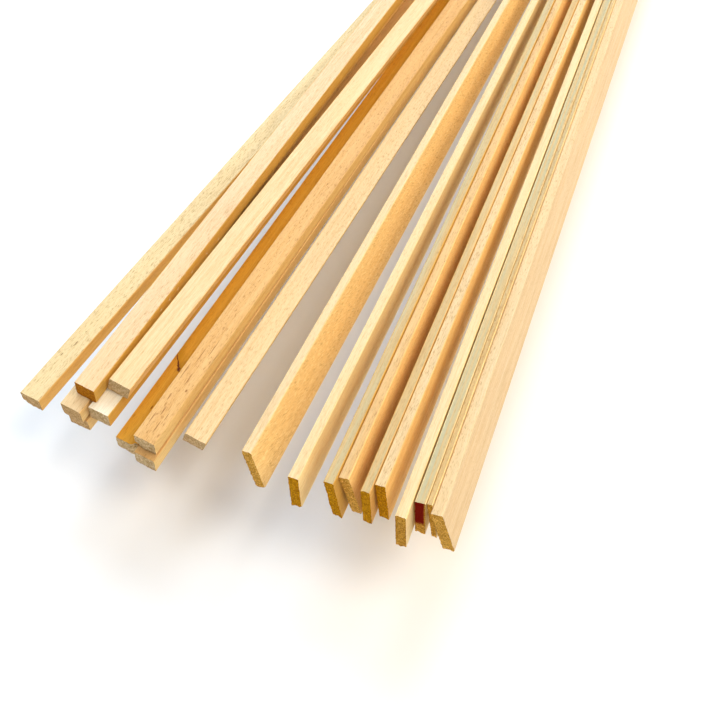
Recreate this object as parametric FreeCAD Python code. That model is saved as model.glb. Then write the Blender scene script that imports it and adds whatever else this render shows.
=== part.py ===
"""A fanned set of twenty loose stripwood lengths for model making.

Ten narrow strips lie flat on the left in up to three layers.  Ten tall strips
stand on their long edge on the right and lean a little to the left.  All of
them run roughly along +Y and draw together towards the far end.
Units are millimetres and +Z is up.
"""
import FreeCAD, Part
import os
import math

os.makedirs("parts", exist_ok=True)

# Driving dimensions
STRIP_LENGTH = 300.0      # every strip, before its ends are trimmed out of square
NARROW_WIDTH = 4.0        # narrow strip, laid flat
NARROW_THICK = 2.9
TALL_HEIGHT = 10.0        # tall strip, stood on its long edge
TALL_THICK = 1.7          # most tall strips; a few are sawn thinner or thicker
EASED_EDGE = 0.15         # flat on every long edge
LAYER_GAP = 0.03          # air between two stacked layers
END_SPARE = 2.0           # extra length at each end, taken off by the end cuts

LAYER_STEP = NARROW_THICK + LAYER_GAP

# One row for each narrow strip.  The columns are: name, layer, place of its lower
# left edge across the fan, setback of its near end, heading, lean, how far its
# section is out of square, and the saw cut of its near end.  A positive heading
# turns the far end to the right and a positive lean tips the top to the left, both
# in degrees.  A saw cut is (swing, slope) in degrees off square: a positive swing
# takes more off the right and a positive slope takes more off the top.
NARROW_STRIPS = [
    ("narrow_strip_01", 0, -37.7, 2.1, 3.35, 0.0, 0.0, (-1.0, 1.5)),
    ("narrow_strip_02", 0, -28.4, 2.0, 2.35, 0.0, 0.0, (0.0, 1.0)),
    ("narrow_strip_03", 1, -28.7, 1.7, 1.0, 0.0, 0.0, (-4.0, 2.0)),
    ("narrow_strip_04", 2, -27.3, 4.5, 0.9, 0.0, 0.0, (-4.0, 6.0)),
    ("narrow_strip_05", 1, -24.3, 2.8, 2.3, 0.0, 0.0, (-1.0, 4.5)),
    ("narrow_strip_06", 2, -23.2, 7.1, 2.4, -7.0, 0.5, (-1.0, 8.0)),
    ("narrow_strip_07", 0, -18.7, 1.2, 1.3, 0.0, 0.0, (-4.0, 3.0)),
    ("narrow_strip_08", 0, -14.6, 0.0, 1.35, 0.0, 0.0, (-3.5, 4.0)),
    ("narrow_strip_09", 1, -14.9, 1.3, 1.55, 0.0, 0.0, (-2.0, 4.0)),
    ("narrow_strip_10", 0, -9.7, 6.4, 1.2, -7.0, 0.6, (-2.0, 0.5)),
]

# One row for each tall strip, all on the table: name, thickness, place across,
# setback, heading, lean and near saw cut.
TALL_STRIPS = [
    ("tall_strip_01", TALL_THICK, 5.1, 3.9, -0.5, 10.8, (1.0, 0.5)),
    ("tall_strip_02", TALL_THICK, 11.8, 3.2, -1.35, 1.5, (4.0, -2.0)),
    ("tall_strip_03", TALL_THICK, 18.45, 4.2, -2.0, 10.2, (-1.0, 1.0)),
    ("tall_strip_04", TALL_THICK, 20.95, 6.1, -2.0, 14.8, (-0.5, 0.5)),
    ("tall_strip_05", 1.5, 23.2, 5.3, -2.05, 5.0, (1.0, -0.5)),
    ("tall_strip_06", TALL_THICK, 25.25, 7.0, -2.05, 8.0, (0.5, 0.5)),
    ("tall_strip_07", TALL_THICK, 29.35, 3.7, -2.45, 5.0, (0.5, -0.5)),
    ("tall_strip_08", TALL_THICK, 31.25, 7.0, -2.45, 5.5, (1.0, -0.5)),
    ("tall_strip_09", 0.9, 33.95, 7.2, -2.45, 11.0, (-0.5, 1.0)),
    ("tall_strip_10", 2.0, 36.2, 6.1, -2.45, 18.3, (-1.5, 1.0)),
]

# Saw cuts used in turn for the far ends
FAR_CUTS = [(1.5, -2.0), (-1.0, 1.5), (2.0, 0.5), (-2.0, -1.0), (0.5, 2.0)]


def section_wire(width, height, skew):
    """Section in the XZ plane with its lower left corner at the origin."""
    e = EASED_EDGE
    slope = skew / height
    corners = [
        (e, 0), (width - e, 0), (width, e), (width, height - e),
        (width - e, height), (e, height), (0, height - e), (0, e),
    ]
    points = [FreeCAD.Vector(x + slope * z, 0, z) for x, z in corners]
    return Part.makePolygon(points + points[:1])


def end_block(width, height, swing, slope):
    """Block whose +Y face is the saw cut of a near end, through the origin."""
    reach = 4 * max(width, height)
    block = Part.makeBox(2 * reach, reach, 2 * reach, FreeCAD.Vector(-reach, -reach, -reach))
    block.rotate(FreeCAD.Vector(0, 0, 0), FreeCAD.Vector(0, 0, 1), swing)
    block.rotate(FreeCAD.Vector(0, 0, 0), FreeCAD.Vector(1, 0, 0), -slope)
    return block


def straight_strip(width, height, skew, near_cut, far_cut):
    """Strip along +Y with its near end at the origin and both ends sawn."""
    face = Part.Face(section_wire(width, height, skew))
    face.translate(FreeCAD.Vector(0, -END_SPARE, 0))
    solid = face.extrude(FreeCAD.Vector(0, STRIP_LENGTH + 2 * END_SPARE, 0))
    near = end_block(width, height, near_cut[0], near_cut[1])
    far = end_block(width, height, far_cut[0], far_cut[1])
    far.rotate(FreeCAD.Vector(0, 0, 0), FreeCAD.Vector(0, 0, 1), 180)
    far.translate(FreeCAD.Vector(0, STRIP_LENGTH, 0))
    return solid.cut(near).cut(far)


def lay(strip, across, setback, rest_height, heading, lean, width):
    """Tip a strip about its lower left edge, turn it, and set it down."""
    origin = FreeCAD.Vector(0, 0, 0)
    strip.rotate(origin, FreeCAD.Vector(0, 1, 0), -lean)
    strip.rotate(origin, FreeCAD.Vector(0, 0, 1), -heading)
    lift = width * math.sin(math.radians(max(-lean, 0)))
    strip.translate(FreeCAD.Vector(across, setback, rest_height + lift))
    return strip


def build_strips():
    """All twenty strips as (name, solid) pairs."""
    strips = []
    for name, layer, across, setback, heading, lean, skew, cut in NARROW_STRIPS:
        far_cut = FAR_CUTS[len(strips) % len(FAR_CUTS)]
        strip = straight_strip(NARROW_WIDTH, NARROW_THICK, skew, cut, far_cut)
        rest = layer * LAYER_STEP
        lay(strip, across, setback, rest, heading, lean, NARROW_WIDTH)
        strips.append((name, strip))
    for name, thick, across, setback, heading, lean, cut in TALL_STRIPS:
        far_cut = FAR_CUTS[len(strips) % len(FAR_CUTS)]
        strip = straight_strip(thick, TALL_HEIGHT, 0.0, cut, far_cut)
        lay(strip, across, setback, 0.0, heading, lean, thick)
        strips.append((name, strip))
    return strips


def bottom_centre(strips):
    """Centre of the underside of the box around the whole set."""
    box = Part.makeCompound([strip for name, strip in strips]).BoundBox
    return FreeCAD.Vector(box.Center.x, box.Center.y, box.ZMin)


all_strips = build_strips()
shift = bottom_centre(all_strips) * -1
for name, strip in all_strips:
    strip.translate(shift)
    strip.exportStep("parts/" + name + ".step")
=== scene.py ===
"""Looks for a fanned set of twenty loose stripwood lengths.

Every strip is rebuilt as a finely divided solid on the straight lines of its CAD
node: eased and slightly nicked edges, gently uneven faces, and sawn ends with
raised and torn fibres.  The wood itself is procedural and runs along each strip.
"""
import bpy
import math
import random
import numpy as np
from mathutils import Matrix, Vector


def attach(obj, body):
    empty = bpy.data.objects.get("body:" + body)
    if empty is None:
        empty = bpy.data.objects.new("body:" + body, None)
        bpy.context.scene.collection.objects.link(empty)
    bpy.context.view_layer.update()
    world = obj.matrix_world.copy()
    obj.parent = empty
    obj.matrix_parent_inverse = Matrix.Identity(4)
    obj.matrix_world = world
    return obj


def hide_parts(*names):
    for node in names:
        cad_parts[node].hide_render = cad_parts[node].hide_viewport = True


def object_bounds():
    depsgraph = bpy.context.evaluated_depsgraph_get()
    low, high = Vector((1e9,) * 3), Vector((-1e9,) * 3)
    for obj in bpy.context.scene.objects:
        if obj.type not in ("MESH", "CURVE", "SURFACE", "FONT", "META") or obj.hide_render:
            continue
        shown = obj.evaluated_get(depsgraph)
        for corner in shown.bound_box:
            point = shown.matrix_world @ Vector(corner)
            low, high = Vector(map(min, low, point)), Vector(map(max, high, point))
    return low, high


MM = 0.001                # metres in a millimetre
IN_MM = 1000.0            # millimetres in a metre
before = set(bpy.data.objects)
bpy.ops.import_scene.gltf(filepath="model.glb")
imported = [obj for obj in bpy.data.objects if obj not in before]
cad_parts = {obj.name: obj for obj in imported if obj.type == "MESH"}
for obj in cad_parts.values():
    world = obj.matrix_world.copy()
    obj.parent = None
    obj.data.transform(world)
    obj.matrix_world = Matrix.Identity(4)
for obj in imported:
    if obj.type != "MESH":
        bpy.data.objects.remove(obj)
cad_low, cad_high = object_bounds()

NARROW = ["narrow_strip_%02d" % i for i in range(1, 11)]
TALL = ["tall_strip_%02d" % i for i in range(1, 11)]

# Driving dimensions of the strips' skin, in millimetres
STRIP_LENGTH = 300.0
EASE = 0.16               # how far the worn band runs in from a long edge
FACE_PITCH = 0.3          # spacing of the mesh lines across a face
EDGE_REST = 0.078         # how far a long edge stands in before any nick
SLOW_WAVE = 0.045         # unevenness of a face: a slow wave, a short one and the grain
SHORT_WAVE = 0.02
GRAIN_RELIEF = 0.014
NICK = 0.05               # depth of the short and of the long nicks in an edge
RAGGED_MOST = 0.5         # furthest that a sawn end stands in, ragged edge included,
HOLLOW_MOST = 0.9         # and where it has a torn-out place
END_REACH = 1.0           # length along the strip that an end's unevenness fades over
FIBRE_HALF = 0.045        # half the thickness of a loose fibre
SMALL_FACE = 60.0         # square millimetres: a CAD triangle below this is on an eased edge
SHARP_ANGLE = 38.0        # degrees: faces that turn more than this meet in a sharp edge

# Material slots of every strip
PLANED_SLOT = 0
SIDE_SLOT = 1
SAWN_SLOT = 2


# ------------------------------------------------------------------ noise in code

def lattice(ix, iy, iz, seed):
    """Repeatable pseudo-random number from 0 to 1 for each whole-number point."""
    h = (ix * 374761393 + iy * 668265263 + iz * 2147483647 + seed * 1274126177) & 0xFFFFFFFF
    h = ((h ^ (h >> 13)) * 1103515245) & 0xFFFFFFFF
    h = ((h ^ (h >> 15)) * 739391) & 0xFFFFFFFF
    return ((h ^ (h >> 12)) & 0xFFFF) / 65535.0


def value_noise(x, y, z, seed):
    """Smooth noise from 0 to 1 at the points given by three arrays."""
    x, y, z = np.broadcast_arrays(np.asarray(x, float), np.asarray(y, float), np.asarray(z, float))
    fx, fy, fz = np.floor(x), np.floor(y), np.floor(z)
    ix, iy, iz = fx.astype(np.int64), fy.astype(np.int64), fz.astype(np.int64)
    tx, ty, tz = [t * t * (3 - 2 * t) for t in (x - fx, y - fy, z - fz)]
    total = np.zeros(x.shape)
    for dx in (0, 1):
        for dy in (0, 1):
            for dz in (0, 1):
                share = (tx if dx else 1 - tx) * (ty if dy else 1 - ty) * (tz if dz else 1 - tz)
                total += share * lattice(ix + dx, iy + dy, iz + dz, seed)
    return total


# ----------------------------------------------------------------- strip geometry

class Bar:
    """Local frame, section corners and end planes of one CAD strip, in millimetres."""

    def __init__(self, name):
        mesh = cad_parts[name].data
        points = np.array([v.co[:] for v in mesh.vertices]) * IN_MM
        planes = [(p.area * IN_MM ** 2, np.array(p.normal[:]), points[p.vertices[0]])
                  for p in mesh.polygons]
        sides = [p for p in planes if abs(p[1][1]) < 0.3 and p[0] > SMALL_FACE]
        ends = [p for p in planes if abs(p[1][1]) > 0.9]
        top = max(sides, key=lambda p: p[1][2])
        bottom = min(sides, key=lambda p: p[1][2])
        right = max(sides, key=lambda p: p[1][0])
        left = min(sides, key=lambda p: p[1][0])
        near = min(ends, key=lambda p: p[2][1])
        far = max(ends, key=lambda p: p[2][1])
        axis = np.cross(top[1], right[1])
        axis *= np.sign(axis[1]) / np.linalg.norm(axis)
        up = top[1] - axis * (top[1] @ axis)
        up /= np.linalg.norm(up)
        self.rotation = np.stack([np.cross(axis, up), axis, up], 1)
        faces = np.array([left[1], bottom[1], near[1]])
        self.origin = np.linalg.solve(faces, [p[1] @ p[2] for p in (left, bottom, near)])
        left, right, bottom, top, self.near, self.far = [
            (p[1] @ self.rotation, (p[2] - self.origin) @ self.rotation)
            for p in (left, right, bottom, top, near, far)]
        self.bl = self.crossing(left, bottom)
        self.br = self.crossing(right, bottom)
        self.tr = self.crossing(right, top)
        self.tl = self.crossing(left, top)
        self.width = float(np.linalg.norm(self.br - self.bl))
        self.height = float(np.linalg.norm(self.tl - self.bl))

    @staticmethod
    def crossing(a, b):
        """Where two side faces meet in the section, as (x, z)."""
        normals = np.array([[a[0][0], a[0][2]], [b[0][0], b[0][2]]])
        return np.linalg.solve(normals, [a[0] @ a[1], b[0] @ b[1]])

    def section(self, a, b):
        """Point of the section at fractions a across and b up."""
        a = np.asarray(a)[..., None]
        b = np.asarray(b)[..., None]
        low = self.bl * (1 - a) + self.br * a
        high = self.tl * (1 - a) + self.tr * a
        return low * (1 - b) + high * b

    @staticmethod
    def end_line(plane, x, z):
        """Distance along the strip of an end plane at (x, z)."""
        normal, point = plane
        return (normal @ point - normal[0] * x - normal[2] * z) / normal[1]

    def matrix(self):
        """Where the strip's own frame stands in the scene, in metres."""
        m = Matrix([list(row) + [0.0] for row in self.rotation] + [[0, 0, 0, 1]])
        m.translation = Vector(self.origin * MM)
        return m


def grid_lines(size):
    """Fractions across one side: a line at each edge, one just inside, then even steps."""
    inner = max(3, int(round((size - 2 * EASE) / FACE_PITCH)))
    steps = [0.0] + [EASE + (size - 2 * EASE) * i / inner for i in range(inner + 1)] + [size]
    return np.array(steps) / size


def stations(rng):
    """Distances from an end to the middle of a strip, close together near the end."""
    out = [0.0, 0.07, 0.16, 0.28, 0.42, 0.6, 0.82, 1.1]
    step, growth, longest_step = 0.32, 1.035, 1.25
    stop_short = 0.8
    while out[-1] + step < STRIP_LENGTH / 2 - stop_short:
        out.append(out[-1] + step * rng.uniform(0.85, 1.15))
        step = min(step * growth, longest_step)
    return np.array(out)


def edge_chips(count, rng):
    """Chips in the long edges, as (corner number, place along, reach, depth) in millimetres.

    More than half of them, on average, are within 60 mm of the near end.
    """
    out = []
    for _ in range(count):
        corner = rng.choice([0, 1, 2, 3])
        along = rng.choice([rng.uniform(0.5, 60.0), rng.uniform(20.0, 290.0)])
        reach = rng.uniform(0.4, 1.6)
        depth = rng.uniform(0.08, 0.24)
        out.append((corner, along, reach, depth))
    return out


def splinter(x, y, z, dx, dy, dz):
    """Loose fibre from its root at (x, y, z), tapered at both ends, in millimetres."""
    root, reach = np.array([x, y, z]), np.array([dx, dy, dz])
    across = np.cross(reach, [0.0, 0.0, 1.0])
    across *= FIBRE_HALF / np.linalg.norm(across)
    up = np.cross(across, reach)
    up *= FIBRE_HALF / np.linalg.norm(up)
    waist = root + reach * 0.4
    points = np.array([root, waist + across, waist + up, waist - across, waist - up, root + reach])
    around = [(1, 2), (2, 3), (3, 4), (4, 1)]
    return points, [(0, i, j) for i, j in around] + [(5, j, i) for i, j in around]


def boundary_ring(last_column, last_level):
    """Grid points round the section, anticlockwise seen from the near end."""
    ring = [(i, 0) for i in range(last_column)]
    ring += [(last_column, j) for j in range(last_level)]
    ring += [(i, last_level) for i in range(last_column, 0, -1)]
    ring += [(0, j) for j in range(last_level, 0, -1)]
    return ring


def strip_mesh(name, bar, seed, wear, rough_end, torn, chips, hollows, splinters):
    """Finely divided solid of one strip, drawn a little inside its CAD faces.

    wear scales the nicks of the long edges and the unevenness of the faces,
    rough_end is the depth of the sawn texture at the ends in millimetres, torn the
    depth of the ragged lower edge of an end, and chips the number in the long edges.
    A hollow is a torn-out place on the near end, as (x, z, radius, depth), and a
    splinter a loose fibre, as (x, y, z) of its root and its reach from there.
    """
    rng = random.Random(seed)
    columns = grid_lines(bar.width)
    levels = grid_lines(bar.height)
    last_column, last_level = len(columns) - 1, len(levels) - 1
    near = stations(rng)
    far = stations(rng)
    chip_list = edge_chips(chips, rng)

    ring = boundary_ring(last_column, last_level)
    ring_column = np.array([r[0] for r in ring])
    ring_level = np.array([r[1] for r in ring])
    on_left = ring_column == 0
    on_right = ring_column == last_column
    on_bottom = ring_level == 0
    on_top = ring_level == last_level
    push_x = np.where(on_left, 1.0, np.where(on_right, -1.0, 0.0))
    push_z = np.where(on_bottom, 1.0, np.where(on_top, -1.0, 0.0))
    corner = (push_x != 0) & (push_z != 0)
    side_seed = np.where(on_left, 1, np.where(on_right, 2, np.where(on_bottom, 3, 4)))
    corner_number = np.where(on_left, 0, 2) + np.where(on_bottom, 0, 1)

    def end_inset(x, z, k):
        """How far the sawn face stands back from the CAD end plane, in millimetres."""
        coarse = value_noise(x / 0.42, z / 0.42, 0 * x, seed * 7 + k)
        fine = value_noise(x / 0.16, z / 0.16, 0 * x, seed * 11 + k)
        inset = rough_end * (0.65 * coarse + 0.35 * fine)
        rag = value_noise(x / 0.5, 0 * x, 0 * x, seed * 13 + k)
        rag = rag * value_noise(z / 0.7, x / 0.6, 0 * x, seed * 17 + k)
        low = np.exp(-np.maximum(z, 0) / 0.55) + 0.6 * np.exp(-np.maximum(x, 0) / 0.35)
        inset = np.minimum(inset + torn * rag * low * 1.6, RAGGED_MOST)
        if k == 0:
            for at_x, at_z, radius, depth in hollows:
                away = np.hypot(x - at_x, z - at_z) / radius
                inset = inset + depth * np.exp(-away ** 4) * (0.6 + 0.4 * fine)
        return np.minimum(inset, HOLLOW_MOST)

    base = bar.section(columns[ring_column], levels[ring_level])

    def rings(dist, k):
        """Boundary points at each distance from end k (0 near, 1 far), one row each."""
        dist = dist[:, None]
        along = dist if k == 0 else STRIP_LENGTH - dist
        wave = SLOW_WAVE * value_noise(side_seed * 9.7, along / 22.0, 0.0, seed * 3 + 1)
        wave = wave + SHORT_WAVE * value_noise(side_seed * 3.1, along / 3.4, 0.0, seed * 3 + 2)
        wave = wave * wear
        grain = value_noise(base[:, 0] / 0.35, along / 2.2, base[:, 1] / 0.35, seed * 3 + 3)
        grain = GRAIN_RELIEF * grain
        nick = NICK * value_noise(corner_number * 5.3, along / 0.9, 0.0, seed * 5 + 2)
        nick = nick + NICK * value_noise(corner_number * 2.3, along / 7.0, 0.0, seed * 5 + 4)
        nick = EDGE_REST + nick * wear
        for chip_corner, chip_along, chip_reach, depth in chip_list:
            hit = np.exp(-((along - chip_along) / chip_reach) ** 2)
            nick = nick + np.where(corner_number == chip_corner, depth * wear * hit, 0.0)
        amount = wave + grain + np.where(corner, nick, 0.0)
        x = base[:, 0] + push_x * amount
        z = base[:, 1] + push_z * amount
        plane = bar.near if k == 0 else bar.far
        inset = end_inset(x, z, k) * np.exp(-dist / END_REACH) + dist
        y = bar.end_line(plane, x, z) + (inset if k == 0 else -inset)
        return np.stack([x, y, z], 2).reshape(-1, 3)

    rows = [rings(near, 0), rings(far[::-1], 1)]
    verts = [np.concatenate(rows)]
    n = len(ring)
    count = len(near) + len(far)
    around = np.arange(n)
    after = (around + 1) % n
    low = (np.arange(count - 1) * n)[:, None]
    # these long faces have their normals into the wood, and the sawn ends have theirs out of it
    quads = np.stack([low + around, low + after, low + n + after, low + n + around], 2)
    faces = quads.reshape(-1, 4).tolist()
    planed = (on_bottom & on_bottom[after]) | (on_top & on_top[after])
    kinds = np.tile(np.where(planed, PLANED_SLOT, SIDE_SLOT), count - 1).tolist()
    lookup = {rc: i for i, rc in enumerate(ring)}
    for k in (0, 1):
        first = 0 if k == 0 else (count - 1) * n
        inner = {}
        pts = []
        start = sum(len(v) for v in verts)
        for i in range(1, last_column):
            for j in range(1, last_level):
                inner[(i, j)] = start + len(pts)
                pts.append((columns[i], levels[j]))
        pts = np.array(pts)
        sec = bar.section(pts[:, 0], pts[:, 1])
        plane = bar.near if k == 0 else bar.far
        y = bar.end_line(plane, sec[:, 0], sec[:, 1])
        inset = end_inset(sec[:, 0], sec[:, 1], k)
        y = y + inset if k == 0 else y - inset
        verts.append(np.stack([sec[:, 0], y, sec[:, 1]], 1))

        def index(i, j):
            """Number of the vertex at a grid point of this end."""
            return first + lookup[(i, j)] if (i, j) in lookup else inner[(i, j)]

        for i in range(last_column):
            for j in range(last_level):
                quad = (index(i, j), index(i, j + 1), index(i + 1, j + 1), index(i + 1, j))
                faces.append(quad[::-1] if k == 0 else quad)
                kinds.append(SAWN_SLOT)
    for root_and_reach in splinters:
        start = sum(len(v) for v in verts)
        points, tips = splinter(*root_and_reach)
        verts.append(points)
        faces += [tuple(start + i for i in tip) for tip in tips]
        kinds += [PLANED_SLOT] * len(tips)
    mesh = bpy.data.meshes.new(name)
    mesh.from_pydata((np.concatenate(verts) * MM).tolist(), [], faces)
    # edge is 1 on the long edges and round the rims of both ends; the materials paint a highlight and
    # darker patches along it
    edge = np.zeros(len(mesh.vertices))
    edge[:n * count] = np.tile(corner, count)
    edge[:n] = edge[n * (count - 1):n * count] = 1.0
    mesh.attributes.new("edge", "FLOAT", "POINT").data.foreach_set("value", edge)
    mesh.polygons.foreach_set("material_index", kinds)
    mesh.polygons.foreach_set("use_smooth", [True] * len(faces))
    mesh.set_sharp_from_angle(angle=math.radians(SHARP_ANGLE))
    mesh.update()
    return mesh


# ---------------------------------------------------------------------- materials

class Nodes:
    """Small helper that adds and wires shader nodes."""

    def __init__(self, name):
        self.material = bpy.data.materials.new(name)
        self.material.use_nodes = True
        self.tree = self.material.node_tree
        self.tree.nodes.clear()

    def add(self, kind, **settings):
        """A new node with the given settings."""
        node = self.tree.nodes.new(kind)
        for key, value in settings.items():
            setattr(node, key, value)
        return node

    def link(self, a, b):
        self.tree.links.new(a, b)

    def feed(self, socket, value):
        """Wire or set an input; None leaves it as it is."""
        if isinstance(value, bpy.types.NodeSocket):
            self.link(value, socket)
        elif value is not None:
            socket.default_value = value

    def math(self, operation, a, b=None, clamp=False):
        node = self.add("ShaderNodeMath", operation=operation, use_clamp=clamp)
        self.feed(node.inputs[0], a)
        self.feed(node.inputs[1], b)
        return node.outputs[0]

    def spread(self, value, low, high, to_low=0.0, to_high=1.0):
        """Value eased from the range low to high onto the range to_low to to_high."""
        node = self.add("ShaderNodeMapRange", interpolation_type="SMOOTHSTEP")
        self.feed(node.inputs["Value"], value)
        node.inputs["From Min"].default_value = low
        node.inputs["From Max"].default_value = high
        node.inputs["To Min"].default_value = to_low
        node.inputs["To Max"].default_value = to_high
        return node.outputs["Result"]

    def noise(self, where, scale, offset, detail=2.0, roughness=0.5, distortion=0.0, tilt=0.0):
        """Noise stretched by scale = (across, along, up), in cells per millimetre.

        A tilt, in radians, slopes the pattern up along the strip.
        """
        if tilt:
            turn = self.add("ShaderNodeVectorRotate", rotation_type="X_AXIS")
            self.link(where, turn.inputs["Vector"])
            turn.inputs["Angle"].default_value = tilt
            where = turn.outputs["Vector"]
        mapping = self.add("ShaderNodeMapping")
        self.link(where, mapping.inputs["Vector"])
        mapping.inputs["Location"].default_value = offset
        mapping.inputs["Scale"].default_value = [s * IN_MM for s in scale]
        tex = self.add("ShaderNodeTexNoise")
        self.link(mapping.outputs["Vector"], tex.inputs["Vector"])
        tex.inputs["Scale"].default_value = 1.0
        tex.inputs["Detail"].default_value = detail
        tex.inputs["Roughness"].default_value = roughness
        tex.inputs["Distortion"].default_value = distortion
        return tex.outputs[0]

    def mix(self, factor, a, b):
        node = self.add("ShaderNodeMix", data_type="RGBA")
        self.feed(node.inputs["Factor"], factor)
        self.feed(node.inputs["A"], a)
        self.feed(node.inputs["B"], b)
        return node.outputs["Result"]


def rgb(r, g, b):
    """Opaque linear colour."""
    return (r, g, b, 1.0)


def scaled(colour, *k):
    """Colour times one factor, or times a factor for each channel."""
    k = k if len(k) == 3 else k * 3
    return rgb(*[min(1.0, c * f) for c, f in zip(colour, k)])


def finish_wood(n, colour, height, relief, roughness, specular):
    """Bump, shader and output shared by every wood material; relief is in millimetres."""
    bump = n.add("ShaderNodeBump")
    bump.inputs["Strength"].default_value = 0.8
    bump.inputs["Distance"].default_value = relief * MM
    n.link(height, bump.inputs["Height"])
    shader = n.add("ShaderNodeBsdfPrincipled")
    n.link(colour, shader.inputs["Base Color"])
    n.link(roughness, shader.inputs["Roughness"])
    shader.inputs["Specular IOR Level"].default_value = specular
    n.link(bump.outputs["Normal"], shader.inputs["Normal"])
    out = n.add("ShaderNodeOutputMaterial")
    n.link(shader.outputs[0], out.inputs["Surface"])
    return n.material


def long_grain(name, seed, wood, pores, streaks, flecks=0.0, weather=0.0, marks=(), crack=None):
    """Face along the grain: growth bands, fibres, pores, ray flecks, weathering, a painted highlight
    and darker patches along the edges.
    """
    n = Nodes(name)
    place = n.add("ShaderNodeTexCoord").outputs["Object"]
    off = (seed * 3.7 % 50, seed * 7.3 % 50, seed * 1.9 % 50)
    off2 = (off[2], off[0], off[1])
    dark = scaled(wood, 0.84, 0.70, 0.54)
    bands = n.noise(place, (0.6, 0.006, 0.6), off, 2.0, 0.5, 0.4)
    fibre = n.noise(place, (4.2, 0.07, 4.2), off, 4.0, 0.62)
    fine = n.noise(place, (8.5, 0.35, 8.5), off, 3.0, 0.65)
    patch = n.noise(place, (0.14, 0.035, 0.14), off, 2.0)
    pore = n.noise(place, (8.0, 0.9, 8.0), off2, 2.0, 0.55)
    vessel = n.noise(place, (6.0, 1.1, 6.0), off, 1.0, 0.4)

    colour = n.mix(n.math("MULTIPLY", n.spread(bands, 0.34, 0.66), streaks), wood, dark)
    colour = n.mix(n.spread(fibre, 0.42, 0.70, 0.0, 0.6), colour, dark)
    colour = n.mix(n.spread(fine, 0.44, 0.68, 0.0, 0.4), colour, scaled(dark, 0.86))
    colour = n.mix(n.spread(fine, 0.28, 0.42, 0.4, 0.0), colour, scaled(wood, 1.12, 1.14, 1.2))
    colour = n.mix(n.spread(patch, 0.35, 0.7, 0.0, 0.5), colour, scaled(wood, 1.04, 0.98, 0.9))
    if flecks:
        ray = n.noise(place, (0.9, 0.9, 5.0), off, 2.0, 0.6, 0.5, tilt=0.35)
        colour = n.mix(n.spread(ray, 0.5, 0.68, 0.0, flecks), colour, scaled(wood, 1.1, 1.16, 1.3))
        dash = n.noise(place, (3.0, 0.8, 4.4), off2, 2.0, 0.6, 0.2, tilt=0.5)
        colour = n.mix(n.spread(dash, 0.55, 0.7, 0.0, flecks), colour, scaled(dark, 0.8))
    if weather:
        grey = n.noise(place, (1.1, 0.018, 0.4), off2, 3.0, 0.6, 0.3)
        colour = n.mix(n.spread(grey, 0.42, 0.62, 0.0, weather), colour, WEATHERED)
    cluster = n.math("MULTIPLY", n.spread(bands, 0.3, 0.7, 0.35, 1.0), pores)
    pore_mask = n.math("MULTIPLY", n.spread(pore, 0.55, 0.67), cluster, clamp=True)
    colour = n.mix(n.math("MULTIPLY", pore_mask, 0.7), colour, scaled(dark, 0.62, 0.5, 0.34))
    vessel_mask = n.math("MULTIPLY", n.spread(vessel, 0.68, 0.77), cluster, clamp=True)
    colour = n.mix(n.math("MULTIPLY", vessel_mask, 0.65), colour, scaled(dark, 0.5, 0.38, 0.24))

    # along the edges: a lighter band in patches, which is painted highlight, and darker patches
    edge_mask = n.add("ShaderNodeAttribute", attribute_name="edge").outputs["Fac"]
    edge_patches = n.noise(place, (0.5, 0.09, 0.5), off2, 3.0, 0.6)
    edge_highlight = n.math("MULTIPLY", edge_mask, n.spread(edge_patches, 0.4, 0.6, 0.0, 0.6))
    colour = n.mix(edge_highlight, colour, scaled(wood, 1.08, 1.1, 1.15))
    darker_edge = n.math("MULTIPLY", edge_mask, n.spread(edge_patches, 0.3, 0.45, 0.55, 0.0))
    colour = n.mix(darker_edge, colour, scaled(dark, 0.72))
    height = n.math("ADD", n.math("MULTIPLY", fibre, 0.6), n.math("MULTIPLY", fine, 0.5))
    height = n.math("SUBTRACT", height, n.math("MULTIPLY", pore_mask, 0.7))
    for x, y, wide, long in marks:
        colour = add_mark(n, place, (x, y, wide, long), colour, scaled(dark, 0.42, 0.28, 0.16))
    if crack:
        colour, height = add_crack(n, place, crack, colour, height)
    roughness = n.spread(fibre, 0.3, 0.7, 0.52, 0.78)
    return finish_wood(n, colour, height, relief=0.05, roughness=roughness, specular=0.28)


def add_mark(n, place, mark, colour, tint):
    """A small dark fleck at (x, y) that is wide across and long along the grain, in mm."""
    x, y, wide, long = mark
    split = n.add("ShaderNodeSeparateXYZ")
    n.link(place, split.inputs[0])
    across = n.math("MULTIPLY", n.math("SUBTRACT", split.outputs[0], x * MM), 1.0 / (wide * MM))
    along = n.math("MULTIPLY", n.math("SUBTRACT", split.outputs[1], y * MM), 1.0 / (long * MM))
    away = n.math("ADD", n.math("MULTIPLY", across, across), n.math("MULTIPLY", along, along))
    return n.mix(n.spread(away, 0.1, 1.0, 0.85, 0.0), colour, tint)


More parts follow.
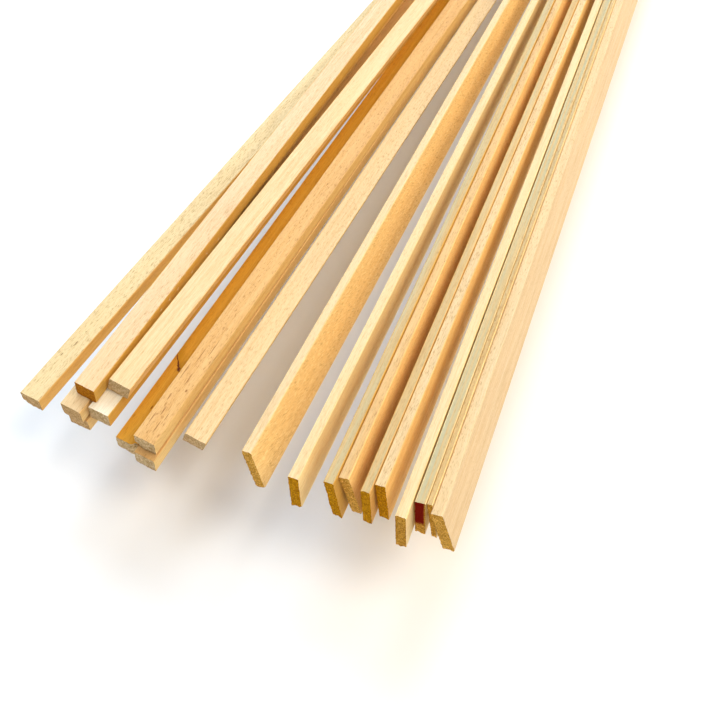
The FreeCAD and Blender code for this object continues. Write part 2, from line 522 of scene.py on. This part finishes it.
def add_crack(n, place, crack, colour, height):
    """A dark split that wanders slantwise; crack is (x, y, length along) in mm."""
    split = n.add("ShaderNodeSeparateXYZ")
    n.link(place, split.inputs[0])
    middle_x, middle_y, long = crack
    swing = 1.3
    slant = -0.72
    x = n.math("MULTIPLY", split.outputs[0], IN_MM)
    y = n.math("SUBTRACT", n.math("MULTIPLY", split.outputs[1], IN_MM), middle_y)
    wander = n.noise(place, (0.0, 1.3, 0.0), (3.0, 1.0, 2.0), 3.0, 0.7)
    line = n.math("ADD", n.math("MULTIPLY", wander, swing), middle_x - swing / 2)
    line = n.math("ADD", line, n.math("MULTIPLY", y, slant))
    beyond = n.math("SUBTRACT", x, line)
    gap = n.math("ABSOLUTE", beyond)
    inside = n.spread(n.math("ABSOLUTE", y), long * 0.32, long * 0.5, 1.0, 0.0)
    width = n.spread(y, -0.4 * long, 0.2 * long, 0.42, 0.14)
    mask = n.math("MULTIPLY", n.spread(n.math("DIVIDE", gap, width), 0.2, 1.0, 0.95, 0.0), inside)
    rise = n.spread(beyond, 0.0, 0.3)
    shade = n.math("MULTIPLY", rise, n.spread(beyond, 0.4, 2.6, 0.75, 0.0))
    halo = n.math("MULTIPLY", n.spread(gap, 0.1, 0.6, 0.4, 0.0), inside)
    colour = n.mix(shade, colour, CRACK_SHADE)
    colour = n.mix(halo, colour, CRACK_HALO)
    colour = n.mix(mask, colour, CRACK_CORE)
    return colour, n.math("SUBTRACT", height, n.math("MULTIPLY", mask, 4.0))


def end_grain(name, seed, wood, coarse, painted_shade=None):
    """Sawn end: clumps of torn fibre, open pores, pale fibre tips, darker patches round the rims and a
    dusty finish.

    coarse, from 0 to 1, is how deep and how spotted the sawn texture is.  A painted
    shade is (colour, low, high, edge) in mm: a dark colour that stands for shade,
    none below low, full above high, and only as far to the right as its edge.
    """
    n = Nodes(name)
    place = n.add("ShaderNodeTexCoord").outputs["Object"]
    off = (seed * 2.3 % 40, seed * 5.9 % 40, seed * 4.1 % 40)
    off2 = (off[1], off[2], off[0])
    dark = scaled(wood, 0.66, 0.56, 0.40)
    clumps = n.noise(place, (2.4, 0.5, 1.9), off, 3.0, 0.65)
    grit = n.noise(place, (7.5, 1.2, 7.5), off, 3.0, 0.7)
    tips = n.noise(place, (5.5, 0.8, 4.5), off2, 2.0, 0.6)
    rings = n.noise(place, (0.5, 0.02, 1.6), off, 2.0, 0.5, 0.8)
    colour = n.mix(n.spread(clumps, 0.38, 0.62), wood, dark)
    colour = n.mix(n.spread(rings, 0.45, 0.6, 0.0, 0.3), colour, scaled(dark, 0.85))
    colour = n.mix(n.spread(grit, 0.48, 0.62, 0.0, 0.35 + 0.5 * coarse), colour, scaled(dark, 0.4))
    pale_tips = n.spread(tips, 0.54, 0.66, 0.0, 0.3 + 0.45 * coarse)
    colour = n.mix(pale_tips, colour, scaled(wood, 1.4, 1.5, 2.2))
    # painted shade: dark red over the upper left of the end, where shade falls between the strips
    # beside it
    if painted_shade:
        tint, low, high, edge = painted_shade
        split = n.add("ShaderNodeSeparateXYZ")
        n.link(place, split.inputs[0])
        level = n.math("ADD", split.outputs[2], n.math("MULTIPLY", clumps, 0.0012))
        shade_height = n.spread(level, low * MM, high * MM)
        shade_mask = n.math("MULTIPLY", shade_height, n.spread(grit, 0.3, 0.75, 1.0, 0.95))
        rim = n.math("ADD", split.outputs[0], n.math("MULTIPLY", clumps, 0.0005))
        shade_mask = n.math("MULTIPLY", shade_mask, n.spread(rim, edge * MM, (edge + 0.3) * MM, 1.0, 0.0))
        colour = n.mix(shade_mask, colour, tint)
    # darker in patches round the rims of the end
    edge_mask = n.add("ShaderNodeAttribute", attribute_name="edge").outputs["Fac"]
    darker_edge = n.math("MULTIPLY", edge_mask, n.spread(clumps, 0.4, 0.6, 0.1, 0.6))
    colour = n.mix(darker_edge, colour, scaled(dark, 0.5))
    height = n.math("ADD", n.math("MULTIPLY", clumps, 0.7), n.math("MULTIPLY", grit, 0.6))
    roughness = n.spread(grit, 0.3, 0.7, 0.75, 0.95)
    relief = 0.06 + 0.08 * coarse
    specular = 0.15 - 0.12 * coarse
    return finish_wood(n, colour, height, relief, roughness, specular)


# ---------------------------------------------------------------- the twenty strips

# Linear colours of the wood.  Planed faces:
CREAM = rgb(0.80, 0.61, 0.35)
STRAW = rgb(0.79, 0.66, 0.39)
# greyish pale wood, lifted further as painted light where the strip above shades it
PALE_PAINTED_LIGHT = rgb(0.94, 0.88, 0.72)
PINK = rgb(0.80, 0.60, 0.37)
HONEY = rgb(0.76, 0.52, 0.24)
GOLDEN = rgb(0.73, 0.46, 0.185)
AMBER = rgb(0.64, 0.39, 0.15)
# orange wood, darkened and deepened as painted shade from the strips beside and over its middle
UMBER_PAINTED_SHADE = rgb(0.66, 0.32, 0.025)
SAGE = rgb(0.62, 0.45, 0.21)
# sides:
SIDE = rgb(0.92, 0.66, 0.29)
SIDE_TAN = rgb(0.80, 0.58, 0.25)
SIDE_RED = rgb(0.70, 0.42, 0.09)
SIDE_DEEP = rgb(0.84, 0.52, 0.16)
# side colour lifted as painted light, for sides deep in the narrow gaps between the tall strips
SIDE_PAINTED_LIGHT = rgb(0.98, 0.78, 0.40)
# orange side lifted as far as it goes: painted light for sides shaded by a close neighbour
SIDE_ORANGE_PAINTED_LIGHT = rgb(0.96, 0.67, 0.27)
# paler, greyer side: painted highlight, the washed-out look of the brightly lit outer side
SIDE_PALE_PAINTED_HIGHLIGHT = rgb(0.70, 0.54, 0.32)
# and sawn ends:
END_GREY = rgb(0.69, 0.51, 0.27)
END_TAN = rgb(0.66, 0.43, 0.19)
END_BROWN = rgb(0.52, 0.19, 0.004)
END_DEEP = rgb(0.62, 0.29, 0.006)
END_OCHRE = rgb(0.68, 0.36, 0.05)
END_LIGHT = rgb(0.80, 0.44, 0.08)
# the grey of weathered wood, the dark red painted shade on a sawn end, and the crack from the outside
# in:
WEATHERED = rgb(0.45, 0.43, 0.27)
# dark red painted shade for a sawn end
PAINTED_SHADE_RED = rgb(0.17, 0.001, 0.001)
CRACK_SHADE = rgb(0.46, 0.21, 0.004)
CRACK_HALO = rgb(0.46, 0.15, 0.01)
CRACK_CORE = rgb(0.09, 0.010, 0.003)

# Colours of the planed faces, sides and ends; then how strong the pores, the streaks and
# the weathering are, the depths of the sawn texture and of the ragged edge at the ends in
# millimetres, and the number of chips
STRIPS = {
    "narrow_strip_01": (STRAW, SIDE_DEEP, END_TAN, 1.2, 0.45, 0.0, 0.10, 0.12, 6),
    "narrow_strip_02": (AMBER, SIDE, END_TAN, 0.7, 0.5, 0.0, 0.12, 0.15, 5),
    "narrow_strip_03": (CREAM, SIDE, END_TAN, 0.8, 0.4, 0.0, 0.10, 0.08, 5),
    "narrow_strip_04": (PINK, SIDE_RED, END_BROWN, 0.8, 0.35, 0.0, 0.08, 0.05, 5),
    "narrow_strip_05": (PALE_PAINTED_LIGHT, SIDE_RED, END_GREY, 0.3, 0.1, 0.0, 0.08, 0.05, 4),
    "narrow_strip_06": (CREAM, SIDE, END_GREY, 0.5, 0.25, 0.0, 0.06, 0.05, 6),
    "narrow_strip_07": (UMBER_PAINTED_SHADE, SIDE_DEEP, END_GREY, 1.0, 0.6, 0.0, 0.14, 0.10, 6),
    "narrow_strip_08": (AMBER, SIDE_TAN, END_GREY, 0.8, 0.4, 0.0, 0.10, 0.08, 5),
    "narrow_strip_09": (GOLDEN, SIDE_TAN, END_GREY, 1.4, 0.6, 0.0, 0.16, 0.12, 7),
    "narrow_strip_10": (CREAM, SIDE_TAN, END_GREY, 1.0, 0.3, 0.0, 0.06, 0.04, 6),
    "tall_strip_01": (CREAM, SIDE, END_LIGHT, 1.0, 0.3, 0.0, 0.26, 0.35, 6),
    "tall_strip_02": (CREAM, SIDE_PAINTED_LIGHT, END_DEEP, 1.0, 0.3, 0.0, 0.26, 0.35, 6),
    "tall_strip_03": (SAGE, SIDE_RED, END_DEEP, 0.7, 0.4, 0.5, 0.26, 0.30, 6),
    "tall_strip_04": (HONEY, SIDE_ORANGE_PAINTED_LIGHT, END_LIGHT, 1.0, 0.4, 0.15, 0.24, 0.30, 6),
    "tall_strip_05": (SAGE, SIDE_DEEP, END_DEEP, 0.7, 0.4, 0.4, 0.28, 0.40, 6),
    "tall_strip_06": (CREAM, SIDE_ORANGE_PAINTED_LIGHT, END_DEEP, 1.0, 0.4, 0.15, 0.26, 0.30, 6),
    "tall_strip_07": (CREAM, SIDE_PAINTED_LIGHT, END_OCHRE, 0.5, 0.3, 0.0, 0.26, 0.30, 5),
    "tall_strip_08": (SAGE, SIDE_PAINTED_LIGHT, END_OCHRE, 1.0, 0.6, 0.9, 0.26, 0.35, 6),
    "tall_strip_09": (SAGE, SIDE_PAINTED_LIGHT, END_OCHRE, 1.0, 0.6, 0.4, 0.26, 0.35, 6),
    "tall_strip_10": (CREAM, SIDE_PALE_PAINTED_HIGHLIGHT, END_LIGHT, 1.0, 0.4, 0.1, 0.26, 0.35, 6),
}

# Strength of the silky flecks on a side, and where it differs from the rest
TALL_FLECKS = 0.3
NARROW_FLECKS = 0.15
FLECKS = {"tall_strip_01": 0.8, "tall_strip_10": 0.2}
SIDE_PORES = 0.45         # share of the pores that shows on a side
TALL_WEAR = 0.45          # the tall strips are crisper than the narrow ones
NARROW_WEAR = 1.0
TALL_COARSE = 1.0         # and their sawn ends are rougher
NARROW_COARSE = 0.3

# Torn-out places on near ends: x across, z up, radius and depth in millimetres
HOLLOWS = {
    "narrow_strip_01": [(0.0, 0.0, 0.55, 0.45)],
    "narrow_strip_07": [(3.9, 2.5, 0.75, 0.75)],
    "narrow_strip_09": [(0.2, 0.2, 0.6, 0.55)],
}

# Loose fibres: x, y and z of the root, then the reach in x, y and z, in millimetres.
# The roots of narrow_strip_06 don't follow its skewed side and are 0.4 mm clear of it.
SPLINTERS = {
    "narrow_strip_06": [
        (0.10, 15.8, 2.74, -0.25, 0.80, 0.04), (0.10, 18.5, 2.74, -0.32, 0.70, 0.08),
        (0.10, 18.9, 2.74, -0.22, -0.60, 0.08), (0.10, 21.0, 2.74, -0.30, 0.90, 0.05),
        (0.10, 25.5, 2.74, -0.20, 0.80, 0.06), (0.10, 30.7, 2.74, -0.34, 0.55, 0.08),
        (0.10, 31.1, 2.74, -0.30, -0.50, 0.08), (0.10, 34.5, 2.74, -0.30, 0.80, 0.06),
    ],
    "narrow_strip_04": [
        (3.90, 12.5, 2.74, 0.18, 0.90, 0.04), (3.90, 16.9, 2.74, 0.20, -0.70, 0.02),
        (3.90, 23.4, 2.74, 0.22, 0.80, 0.03), (3.90, 28.2, 2.74, 0.22, -0.80, 0.04),
    ],
    "narrow_strip_09": [
        (0.90, 0.25, 2.74, 0.10, -0.30, 0.08), (1.60, 0.25, 2.74, -0.12, -0.34, 0.06),
        (2.30, 0.25, 2.74, 0.16, -0.26, 0.08), (2.90, 0.25, 2.74, -0.08, -0.32, 0.07),
        (3.40, 0.25, 2.74, 0.12, -0.24, 0.06),
    ],
}

# Dark flecks on planed faces: x across, y along, width and length in millimetres
MARKS = {
    "narrow_strip_01": [(1.9, 12.6, 0.16, 0.8), (1.2, 9.6, 0.14, 0.5)],
    "narrow_strip_09": [
        (3.07, 11.1, 0.20, 0.4), (1.2, 9.0, 0.11, 1.0), (1.8, 6.2, 0.10, 1.2),
        (2.5, 3.2, 0.09, 1.6), (0.9, 4.4, 0.09, 1.4), (2.9, 5.4, 0.08, 1.2),
        (0.8, 14.5, 0.08, 2.4), (2.2, 13.2, 0.08, 1.8), (1.5, 18.4, 0.08, 2.2), (2.7, 20.5, 0.07, 2.6),
    ],
    "narrow_strip_07": [(2.2, 7.5, 0.16, 0.5)],
}

# A crack on a planed face: x across and y along of its middle, and length in millimetres
CRACKS = {"narrow_strip_07": (1.35, 17.1, 3.6)}

# Painted shade on the sawn ends, dark red where shade falls: colour, the heights where
# it starts and is full, and its right-hand edge, in millimetres
END_SHADES = {"tall_strip_08": (PAINTED_SHADE_RED, 3.2, 4.4, 1.55)}


def build_strip(name, number):
    """One strip of wood with its three materials, riding on its CAD node."""
    bar = Bar(name)
    planed, side, end, pores, streaks, weather, rough, torn, chips = STRIPS[name]
    seed = 11 + 17 * number
    tall = name in TALL
    wear = TALL_WEAR if tall else NARROW_WEAR
    flecks = FLECKS.get(name, TALL_FLECKS if tall else NARROW_FLECKS)
    coarse = TALL_COARSE if tall else NARROW_COARSE
    mesh = strip_mesh(name + "_wood", bar, seed, wear, rough, torn, chips, HOLLOWS.get(name, []),
                      SPLINTERS.get(name, []))
    mesh.materials.append(long_grain(name + "_planed", seed, planed, pores, streaks, weather=weather,
                                     marks=MARKS.get(name, ()), crack=CRACKS.get(name)))
    mesh.materials.append(long_grain(name + "_side", seed + 3, side, pores * SIDE_PORES, streaks,
                                     flecks=flecks))
    mesh.materials.append(end_grain(name + "_end", seed + 5, end, coarse, END_SHADES.get(name)))
    piece = bpy.data.objects.new(name + "_wood", mesh)
    bpy.context.scene.collection.objects.link(piece)
    piece.matrix_world = bar.matrix()
    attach(piece, name)
    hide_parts(name)


for number, strip_name in enumerate(NARROW + TALL):
    build_strip(strip_name, number)


# -------------------------------------------------------------- floor, light, camera

# The floor, in metres
FLOOR_DROP = 0.0145       # the strips are held clear of the surface, so their shadows are soft
FLOOR_HALF = 4.0
GLOW_START = 0.4          # the floor's own glow grows between these distances from the middle
GLOW_FULL = 1.3

# The sky: heights, as sines, that its brightness falls between, and the two brightnesses
HORIZON_TOP = 0.04
SKY_START = 0.24
HORIZON_BRIGHT = 1.0
SKY_BRIGHT = 0.15


def build_stage():
    """Plain white floor below the set."""
    n = Nodes("floor_white")
    shader = n.add("ShaderNodeBsdfPrincipled")
    shader.inputs["Base Color"].default_value = rgb(0.92, 0.92, 0.92)
    shader.inputs["Roughness"].default_value = 0.9
    shader.inputs["Specular IOR Level"].default_value = 0.1
    # the softboxes only reach the middle, so further out the floor glows white by itself
    away = n.add("ShaderNodeVectorMath", operation="LENGTH")
    n.link(n.add("ShaderNodeNewGeometry").outputs["Position"], away.inputs[0])
    shader.inputs["Emission Color"].default_value = rgb(1.0, 1.0, 1.0)
    glow = n.spread(away.outputs["Value"], GLOW_START, GLOW_FULL)
    n.link(glow, shader.inputs["Emission Strength"])
    out = n.add("ShaderNodeOutputMaterial")
    n.link(shader.outputs[0], out.inputs["Surface"])
    mesh = bpy.data.meshes.new("floor")
    s = FLOOR_HALF
    z = cad_low.z - FLOOR_DROP
    mesh.from_pydata([(-s, -s, z), (s, -s, z), (s, s, z), (-s, s, z)], [], [(0, 1, 2, 3)])
    mesh.materials.append(n.material)
    floor = bpy.data.objects.new("floor", mesh)
    bpy.context.scene.collection.objects.link(floor)


WARM = (1.0, 0.90, 0.75)
AMBER_LIGHT = (1.0, 0.80, 0.58)
COOL = (0.80, 0.97, 1.17)
WHITE = (1.0, 1.0, 1.0)
SOFTBOX_SIZE = 0.55
STUDIO_AIM = Vector((0.0, -0.06, 0.0))

# The studio: softboxes in a ring, as name, bearing from +X, height in degrees, strength
# and colour
SOFTBOXES = [
    ("right", 5.0, 60.0, 0.57, WARM),
    ("back_right", 45.0, 30.0, 0.46, AMBER_LIGHT),
    ("back_high", 105.0, 48.0, 0.44, COOL),
    ("back_left", 135.0, 30.0, 0.42, COOL),
    ("left", 180.0, 42.0, 0.14, COOL),
    ("front_high", 275.0, 60.0, 0.27, WHITE),
]


def softbox(name, bearing, height, strength, colour):
    """Round area light one metre from the middle of the near half, facing it."""
    bearing, height = math.radians(bearing), math.radians(height)
    level = math.cos(height)
    out = Vector((math.cos(bearing) * level, math.sin(bearing) * level, math.sin(height)))
    data = bpy.data.lights.new(name, "AREA")
    data.shape = "DISK"
    data.size = SOFTBOX_SIZE
    # the watts that give a white surface at the aim a brightness of strength
    data.energy = strength * math.pi ** 2
    data.color = colour
    light = bpy.data.objects.new(name, data)
    light.location = STUDIO_AIM + out
    light.rotation_mode = "QUATERNION"
    light.rotation_quaternion = out.to_track_quat("Z", "Y")
    light.visible_camera = False
    bpy.context.scene.collection.objects.link(light)


def build_light():
    """The sky, the softboxes and the plain colour transform."""
    world = bpy.data.worlds.new("studio")
    world.use_nodes = True
    tree = world.node_tree
    back = tree.nodes["Background"]
    back.inputs["Color"].default_value = rgb(1.0, 1.0, 1.0)
    # white along the horizon, dimmer overhead
    split = tree.nodes.new("ShaderNodeSeparateXYZ")
    tree.links.new(tree.nodes.new("ShaderNodeTexCoord").outputs["Generated"], split.inputs[0])
    fade = tree.nodes.new("ShaderNodeMapRange")
    fade.interpolation_type = "SMOOTHSTEP"
    fade.inputs["From Min"].default_value = HORIZON_TOP
    fade.inputs["From Max"].default_value = SKY_START
    fade.inputs["To Min"].default_value = HORIZON_BRIGHT
    fade.inputs["To Max"].default_value = SKY_BRIGHT
    tree.links.new(split.outputs["Z"], fade.inputs["Value"])
    tree.links.new(fade.outputs["Result"], back.inputs["Strength"])
    bpy.context.scene.world = world
    for box in SOFTBOXES:
        softbox(*box)
    view = bpy.context.scene.view_settings
    view.view_transform = "Standard"
    view.look = "None"


# The camera: degrees turned right of +Y, down from level and rolled; lens in millimetres;
# and its place from the low corner of the CAD box, in metres
CAMERA_HEADING = -20.0
CAMERA_PITCH = 54.0
CAMERA_ROLL = 3.9
CAMERA_LENS = 42.6
CAMERA_PLACE = Vector((0.0787, -0.0496, 0.1229))


def build_camera():
    """Camera close above the near ends, looking down and a little to the left."""
    data = bpy.data.cameras.new("camera")
    data.sensor_width = 36.0
    data.lens = CAMERA_LENS
    data.clip_start = 0.005
    data.clip_end = 20.0
    camera = bpy.data.objects.new("camera", data)
    heading = math.radians(CAMERA_HEADING)
    pitch = math.radians(CAMERA_PITCH)
    roll = math.radians(CAMERA_ROLL)
    flat = Vector((math.sin(heading), math.cos(heading), 0.0))
    forward = flat * math.cos(pitch) - Vector((0, 0, 1)) * math.sin(pitch)
    right = forward.cross(Vector((0, 0, 1))).normalized()
    up = right.cross(forward)
    tilted_right = right * math.cos(roll) + up * math.sin(roll)
    tilted_up = up * math.cos(roll) - right * math.sin(roll)
    m = Matrix((tilted_right, tilted_up, -forward)).transposed().to_4x4()
    m.translation = cad_low + CAMERA_PLACE
    camera.matrix_world = m
    bpy.context.scene.collection.objects.link(camera)
    bpy.context.scene.camera = camera


build_stage()
build_light()
build_camera()
